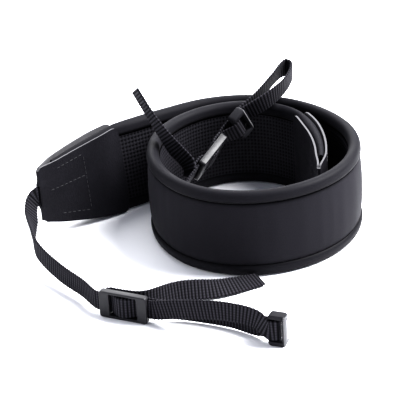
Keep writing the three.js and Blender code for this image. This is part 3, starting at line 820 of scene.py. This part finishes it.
def route_line(route, samples=24):
    """A smooth line through the route's points, with the webbing's width direction along it."""
    points = [np.array(at) for at, lay in route]
    points = [2 * points[0] - points[1], *points, 2 * points[-1] - points[-2]]
    line, spans = [], []
    for i in range(1, len(points) - 2):
        p0, p1, p2, p3 = points[i - 1:i + 3]
        d0, d1, d2 = (math.sqrt(np.linalg.norm(b - a)) for a, b in ((p0, p1), (p1, p2), (p2, p3)))
        t1 = ((p1 - p0) / d0 - (p2 - p0) / (d0 + d1) + (p2 - p1) / d1) * d1
        t2 = ((p2 - p1) / d1 - (p3 - p1) / (d1 + d2) + (p3 - p2) / d2) * d1
        for k in range(samples):
            t = k / samples
            line.append(p1 + t1 * t + (3 * (p2 - p1) - 2 * t1 - t2) * t ** 2
                        + (2 * (p1 - p2) + t1 + t2) * t ** 3)
            spans.append(i - 1 + t)
    line.append(points[-2])
    spans.append(len(route) - 1)
    line = np.array(line)
    heading = np.gradient(line, axis=0)
    widths = []
    for i, (at, lay) in enumerate(route):
        along = Vector(heading[i * samples]).normalized()
        widths.append(np.array(lay if isinstance(lay, Vector) else width_direction(along, lay)))
    widths = np.array(widths)
    across = np.stack([np.interp(spans, range(len(route)), widths[:, k]) for k in range(3)], axis=1)
    return line, across


# Round the webbing's section: across in half widths and out in half thicknesses, then how far each
# point lies on top of one of the lengthwise yarns
warp_points = WARP_ENDS * WARP_STEPS
flat_face = [FLAT_SHARE * (2 * i / warp_points - 1) for i in range(warp_points + 1)]
web_section = [(-1.0, 0.0), (-EDGE_REACH, EDGE_ROUND)]
web_section += [(u, 1.0) for u in flat_face]
web_section += [(EDGE_REACH, EDGE_ROUND), (1.0, 0.0), (EDGE_REACH, -EDGE_ROUND)]
web_section += [(u, -1.0) for u in reversed(flat_face)]
web_section += [(-EDGE_REACH, -EDGE_ROUND)]
web_section = np.array(web_section)
web_warp = 0.5 - 0.5 * np.cos(math.pi * WARP_ENDS * (web_section[:, 0] / FLAT_SHARE + 1))


def ribbed_webbing(name, route):
    """The woven tape along a route, with a rib every weft and toothed edges."""
    line, across = route_line(route)
    run = np.concatenate([[0], np.cumsum(np.linalg.norm(np.diff(line, axis=0), axis=1))])
    stations = np.array(steps_between(0, run[-1], RIB_PITCH / RIB_STEPS))
    line = np.stack([np.interp(stations, run, line[:, k]) for k in range(3)], axis=1)
    across = np.stack([np.interp(stations, run, across[:, k]) for k in range(3)], axis=1)
    along = np.gradient(line, axis=0)
    along /= np.linalg.norm(along, axis=1)[:, None]
    across -= along * (along * across).sum(axis=1)[:, None]
    across /= np.linalg.norm(across, axis=1)[:, None]
    face = np.cross(along, across)
    rib = (0.5 + 0.5 * np.cos(2 * math.pi * stations / RIB_PITCH))[:, None]
    yarn_top = rib * (1 - WARP_SHARE + WARP_SHARE * web_warp[None, :])
    wide = web_section[:, 0] * (WEB_WIDTH / 2 + RIB_TOOTH * (rib - TOOTH_MIDDLE))
    thick = web_section[:, 1] * (WEB_THICKNESS / 2 + RIB_HEIGHT / 2 * (yarn_top - RIB_MIDDLE))
    sideways = across[:, None, :] * wide[:, :, None]
    outwards = face[:, None, :] * thick[:, :, None]
    rows = line[:, None, :] + sideways + outwards
    outline = [(u * WEB_WIDTH / 2, v * WEB_THICKNESS / 2) for u, v in web_section]
    piece = skin(name, rows * MM + np.array(zero), stations, girth(outline), closed=True)
    # The rib height is kept for the material, which paints shade between the ribs from it
    mark(piece, "rib", yarn_top)
    smooth_outwards(piece, angle=70)
    return piece, run[-1]


yarn, yarn_shader = new_material("woven_yarn", YARN_LIGHT, roughness=0.6)
yarn_tree = yarn.node_tree
rib_height = add_node(yarn_tree, "ShaderNodeAttribute", attribute_name="rib")
# Painted shade and light: near black in the troughs between ribs, lighter on their crests; the crests are
# also smoother
rib_shade_mix = add_node(yarn_tree, "ShaderNodeMix", data_type="RGBA")
rib_shade_mix.inputs["A"].default_value = YARN_TROUGH_SHADE
rib_shade_mix.inputs["B"].default_value = YARN_LIGHT
yarn_place = yarn_tree.nodes.new("ShaderNodeTexCoord")
strands = add_node(
    yarn_tree, "ShaderNodeTexWave", bands_direction="Y", Scale=620.0, Distortion=1.2, Detail=1.0
)
yarn_tree.links.new(yarn_place.outputs["UV"], strands.inputs["Vector"])
yarn_tree.links.new(rib_height.outputs["Fac"], rib_shade_mix.inputs["Factor"])
yarn_tree.links.new(rib_shade_mix.outputs["Result"], yarn_shader.inputs["Base Color"])
yarn_rough = add_node(yarn_tree, "ShaderNodeMapRange", To_Min=0.8, To_Max=0.55)
yarn_tree.links.new(rib_height.outputs["Fac"], yarn_rough.inputs["Value"])
yarn_tree.links.new(yarn_rough.outputs["Result"], yarn_shader.inputs["Roughness"])
yarn_shader.inputs["Sheen Weight"].default_value = 0.03
yarn_shader.inputs["Specular IOR Level"].default_value = 0.06
bump_from(yarn_tree, yarn_shader, strands.outputs["Fac"], strength=0.35, depth=0.15)

for name, node, route in (
    ("front_tape", "front_webbing", front_route),
    ("rear_tape", "rear_webbing", rear_route),
):
    webbing, length = ribbed_webbing(name, route)
    webbing.data.materials.append(yarn)
    settle(webbing, node)

# Buckles: a black moulded slide with two broad bars at the front and a narrow bar set back
# between them. The webbing goes behind the broad bars and over the narrow one.
BUCKLE_RAIL = 1.4
BUCKLE_CORNER, MOULD_EDGE = 1.4, 0.45
WELD_GAP, FLAT_ANGLE, EDGE_ANGLE = 0.002, 1, 35
CUT_DEPTH, OVERCUT = 9.0, 2.0
PLASTIC_DARK = (0.012, 0.0118, 0.0137, 1)
PLASTIC_LIGHT = (0.023, 0.0226, 0.0258, 1)


def block(name, size, place):
    """A plain block of the given size in millimetres, its place applied to its mesh."""
    bpy.ops.object.select_all(action="DESELECT")
    bpy.ops.mesh.primitive_cube_add(size=1, location=Vector(place) * MM)
    made = bpy.context.object
    made.name = name
    made.scale = Vector(size) * MM
    bpy.ops.object.transform_apply(location=True, rotation=True, scale=True)
    return made


def carve(piece, tool, operation):
    """Cuts or joins a block into a piece and throws the block away."""
    take_up(piece)
    change = piece.modifiers.new(tool.name, "BOOLEAN")
    change.operation = operation
    change.object = tool
    change.solver = "EXACT"
    bpy.ops.object.modifier_apply(modifier=change.name)
    bpy.data.objects.remove(tool)


def round_corners(piece, length, corner):
    """Rounds the upright corners of a plate lying along X with its depth along Y."""
    take_up(piece)
    bpy.ops.object.mode_set(mode="EDIT")
    bpy.ops.mesh.select_mode(type="EDGE")
    bpy.ops.mesh.select_all(action="DESELECT")
    bpy.ops.object.mode_set(mode="OBJECT")
    for edge in piece.data.edges:
        a, b = (piece.data.vertices[i].co for i in edge.vertices)
        through_plate = abs(a.x - b.x) + abs(a.z - b.z) < WELD_GAP * MM
        at_end = abs(abs(a.x) - length / 2 * MM) < WELD_GAP * MM
        edge.select = through_plate and at_end
    bpy.ops.object.mode_set(mode="EDIT")
    bpy.ops.mesh.bevel(offset=corner * MM, segments=5, affect="EDGES")
    bpy.ops.object.mode_set(mode="OBJECT")


def ease_edges(piece, width):
    """The small radius that every moulded edge has."""
    take_up(piece)
    bpy.ops.object.mode_set(mode="EDIT")
    bpy.ops.mesh.select_all(action="SELECT")
    bpy.ops.mesh.remove_doubles(threshold=WELD_GAP * MM)
    bpy.ops.mesh.dissolve_limited(angle_limit=math.radians(FLAT_ANGLE))
    bpy.ops.object.mode_set(mode="OBJECT")
    edge = piece.modifiers.new("moulded_edge", "BEVEL")
    edge.width = width * MM
    edge.segments = 3
    edge.limit_method = "ANGLE"
    edge.angle_limit = math.radians(EDGE_ANGLE)
    edge.use_clamp_overlap = False
    bpy.ops.object.modifier_apply(modifier=edge.name)
    bpy.ops.object.shade_smooth_by_angle(angle=math.radians(40))


def put_on_strap(piece, hardware):
    """Moves a piece drawn along X, front toward -Y, to where the webbing carries it."""
    middle, along, front, across = hardware
    turn = Matrix((along, -front, across)).transposed().to_4x4()
    piece.data.transform(Matrix.Translation(middle * MM + zero) @ turn)


plastic, plastic_shader = new_material("moulded_plastic", PLASTIC_LIGHT, roughness=0.36)
plastic_tree, plastic_tone = place_tone(
    plastic, plastic_shader, "Object", PLASTIC_DARK, PLASTIC_LIGHT, patch_scale=90.0, fleck_scale=3000.0
)
plastic_shader.inputs["Specular IOR Level"].default_value = 0.24
bump_from(plastic_tree, plastic_shader, plastic_tone.outputs["Fleck"], strength=0.08, depth=0.05)

window = BUCKLE_HEIGHT - 2 * BUCKLE_RAIL
undercut = BUCKLE_DEPTH - SIDE_BAR_DEPTH
for name, node, hardware in (
    ("front_slide", "front_buckle", front_buckle),
    ("rear_slide", "rear_buckle", rear_buckle),
):
    buckle = block(name, (BUCKLE_LENGTH, BUCKLE_DEPTH, BUCKLE_HEIGHT), (0, 0, 0))
    round_corners(buckle, BUCKLE_LENGTH, BUCKLE_CORNER)
    window_size = (BUCKLE_LENGTH - 2 * SIDE_BAR, CUT_DEPTH, window)
    carve(buckle, block("window", window_size, (0, 0, 0)), "DIFFERENCE")
    for side in (-1, 1):
        place = (side * (BUCKLE_LENGTH - SIDE_BAR) / 2, BUCKLE_DEPTH / 2, 0)
        undercut_size = (SIDE_BAR + OVERCUT, 2 * undercut, window)
        carve(buckle, block("undercut", undercut_size, place), "DIFFERENCE")
    bar_place = (0, (BUCKLE_DEPTH - CENTRE_BAR_DEPTH) / 2, 0)
    bar_size = (CENTRE_BAR, CENTRE_BAR_DEPTH, window + BUCKLE_RAIL)
    carve(buckle, block("centre_bar", bar_size, bar_place), "UNION")
    ease_edges(buckle, MOULD_EDGE)
    put_on_strap(buckle, hardware)
    buckle.data.materials.append(plastic)
    settle(buckle, node)

# Keepers: a small moulded frame near each lug loop, two walls with a bar across each end. The end toward
# the loop is chamfered and smoother than the rest, and its faces that look toward the loop carry a
# painted highlight, a far lighter colour than the rest.
# Painted highlight colours for the loop end; the rest of the keeper is matte
END_HIGHLIGHT_DARK = (0.11, 0.11, 0.115, 1)
END_HIGHLIGHT_LIGHT = (0.165, 0.165, 0.172, 1)
KEEPER_DARK = (0.014, 0.0137, 0.0158, 1)
KEEPER_LIGHT = (0.028, 0.0275, 0.0315, 1)
KEEPER_CORNER, KEEPER_CHAMFER = 1.7, 1.2
FREE_BAR_FRONT, BAR_LET_IN = 0.3, 0.3
WEDGE = 6.0
HIGHLIGHT_FACING, WITH_END_FACE, WITHOUT_END_FACE = 0.5, 1.1, 0.9

end_highlight, end_highlight_shader = new_material("painted_end_highlight", END_HIGHLIGHT_LIGHT, roughness=0.3)
place_tone(
    end_highlight, end_highlight_shader, "Object", END_HIGHLIGHT_DARK, END_HIGHLIGHT_LIGHT,
    patch_scale=200.0, fleck_scale=2500.0,
)
end_highlight_shader.inputs["Specular IOR Level"].default_value = 0.1
matte, matte_shader = new_material("matte_keeper", KEEPER_LIGHT, roughness=0.6)
matte_tree, matte_tone = place_tone(
    matte, matte_shader, "Object", KEEPER_DARK, KEEPER_LIGHT, patch_scale=120.0, fleck_scale=1400.0
)
matte_shader.inputs["Specular IOR Level"].default_value = 0.08
bump_from(matte_tree, matte_shader, matte_tone.outputs["Fleck"], strength=0.3, depth=0.15)

opening = KEEPER_HEIGHT - 2 * KEEPER_WALL
for name, node, hardware, highlight_to in (
    ("front_clip", "front_keeper", front_keeper, WITH_END_FACE),
    ("rear_clip", "rear_keeper", rear_keeper, WITHOUT_END_FACE),
):
    keeper = block(name, (KEEPER_LENGTH, KEEPER_DEPTH, KEEPER_HEIGHT), (0, 0, 0))
    round_corners(keeper, KEEPER_LENGTH, KEEPER_CORNER)
    opening_size = (KEEPER_LENGTH + OVERCUT, CUT_DEPTH, opening)
    carve(keeper, block("opening", opening_size, (0, 0, 0)), "DIFFERENCE")
    end = (KEEPER_LENGTH - KEEPER_BAR) / 2
    bar_length = opening + 2 * BAR_LET_IN
    folded = block("folded_bar", (KEEPER_BAR, FOLDED_BAR_DEPTH, bar_length), (-end, 0, 0))
    carve(keeper, folded, "UNION")
    free_depth = FREE_BAR_DEPTH + FREE_BAR_FRONT
    free_place = (end, (FOLDED_BAR_DEPTH - free_depth) / 2, 0)
    free = block("free_bar", (KEEPER_BAR, free_depth, bar_length), free_place)
    carve(keeper, free, "UNION")
    wedge = block("wedge", (WEDGE, WEDGE, 2 * KEEPER_HEIGHT), (0, 0, 0))
    out = (WEDGE / 2 - KEEPER_CHAMFER / math.sqrt(2)) / math.sqrt(2)
    place = Vector((KEEPER_LENGTH / 2 + out, -KEEPER_DEPTH / 2 - out, 0)) * MM
    wedge.data.transform(Matrix.Translation(place) @ Matrix.Rotation(math.radians(45), 4, "Z"))
    carve(keeper, wedge, "DIFFERENCE")
    ease_edges(keeper, MOULD_EDGE)
    keeper.data.materials.append(matte)
    keeper.data.materials.append(end_highlight)
    # Faces at the loop end that look toward the loop get the painted highlight
    for face in keeper.data.polygons:
        toward_loop = face.center.x > (KEEPER_LENGTH / 2 - KEEPER_CHAMFER) * MM
        faces_loop = HIGHLIGHT_FACING < face.normal.x < highlight_to and abs(face.normal.z) < HIGHLIGHT_FACING
        if toward_loop and faces_loop:
            face.material_index = 1
    put_on_strap(keeper, hardware)
    settle(keeper, node)
